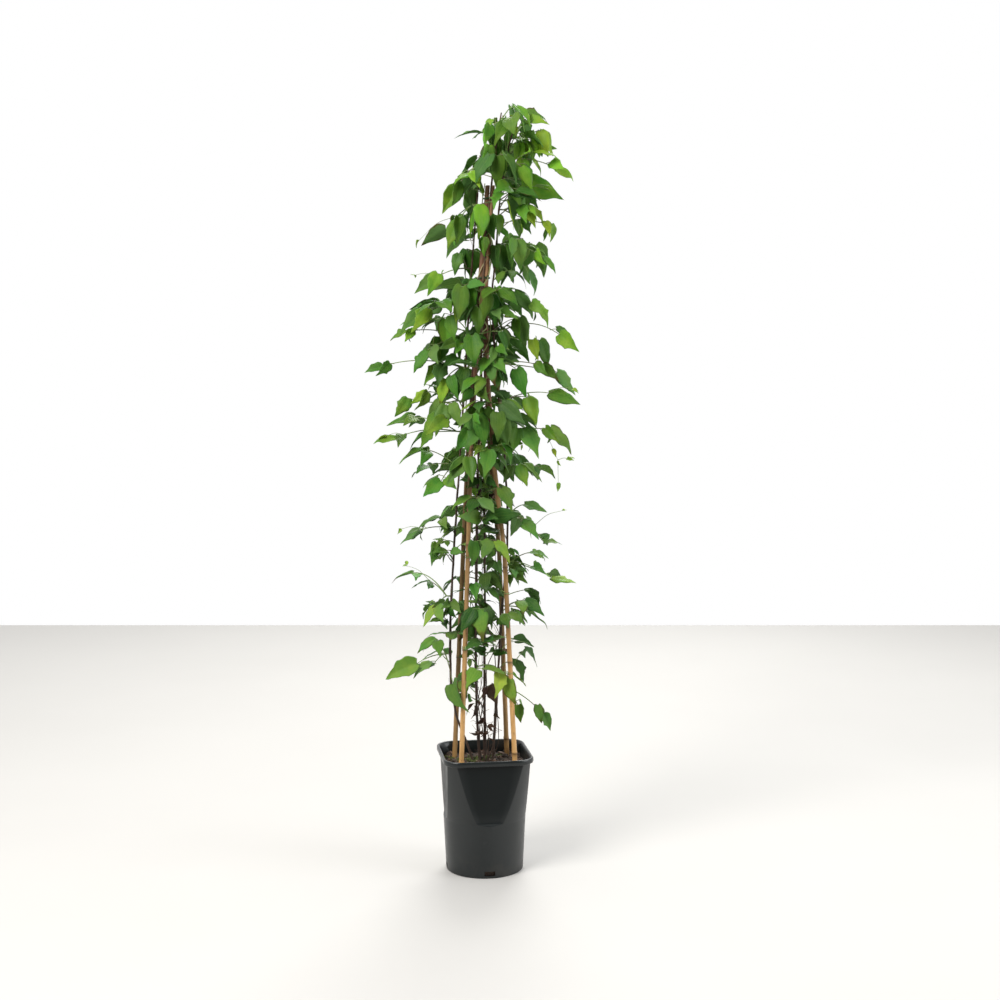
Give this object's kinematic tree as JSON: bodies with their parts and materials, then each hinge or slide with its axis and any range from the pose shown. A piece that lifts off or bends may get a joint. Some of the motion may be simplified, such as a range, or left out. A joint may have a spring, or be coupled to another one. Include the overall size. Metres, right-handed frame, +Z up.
{
  "type": "potted climbing plant",
  "caption": "Young clematis in leaf, climbing tied bamboo canes that stand in a square black plastic nursery pot filled with soil.",
  "frame": {"origin": "centre of the pot's foot, on the surface that it stands on", "axes": "+Z up along the canes; the pot's flat sides face +X, -X, +Y and -Y, and its front is -Y"},
  "size_m": [0.3488, 0.173, 1.2603],
  "materials": {
    "pot_plastic": "charcoal black polypropylene with a soft satin sheen",
    "soil": "dark moist compost with bark chips",
    "bamboo": "dry golden bamboo, darker at its knuckles",
    "stem_wood": "dark stringy bark",
    "tie_plastic": "dark green coated wire",
    "leaf_green": "satin mid green leaf, paler underneath",
    "leaf_young": "satin bright yellow green leaf",
    "leaf_dry": "dry brown curled leaf"
  },
  "bodies": {
    "root": {"pot": "pot_plastic", "soil": "soil", "cane_front_left": "bamboo", "cane_front_right": "bamboo", "cane_back_left": "bamboo", "cane_back_right": "bamboo", "stem_left": "stem_wood", "stem_front": "stem_wood", "stem_back": "stem_wood", "stem_right": "stem_wood", "tie_top": "tie_plastic", "tie_middle": "tie_plastic", "shoot_01": "leaf_green", "shoot_02": "leaf_green", "shoot_03": "leaf_green", "shoot_04": "leaf_green", "shoot_05": "leaf_green", "shoot_06": "leaf_green", "shoot_07": "leaf_green", "shoot_08": "leaf_green", "shoot_09": "leaf_green", "shoot_10": "leaf_green", "shoot_11": "leaf_green", "shoot_12": "leaf_green", "shoot_13": "leaf_green", "shoot_14": "leaf_green", "shoot_15": "leaf_green", "shoot_16": "leaf_green", "shoot_17": "leaf_green", "shoot_18": "leaf_green", "shoot_19": "leaf_green", "shoot_20": "leaf_green", "shoot_21": "leaf_green", "shoot_22": "leaf_green", "shoot_23": "leaf_green", "shoot_24": "leaf_green", "shoot_25": "leaf_green", "shoot_26": "leaf_green", "shoot_27": "leaf_green", "shoot_28": "leaf_green", "shoot_29": "leaf_green", "shoot_30": "leaf_green", "shoot_31": "leaf_green", "shoot_32": "leaf_green", "shoot_33": "leaf_green", "shoot_34": "leaf_green", "shoot_35": "leaf_green", "shoot_36": "leaf_green", "shoot_37": "leaf_green", "shoot_38": "leaf_green", "shoot_39": "leaf_green", "shoot_40": "leaf_green", "shoot_41": "leaf_green", "shoot_42": "leaf_green", "shoot_43": "leaf_green", "shoot_44": "leaf_green", "shoot_45": "leaf_green", "shoot_46": "leaf_young", "shoot_47": "leaf_green", "shoot_48": "leaf_dry"}
  },
  "joints": []
}
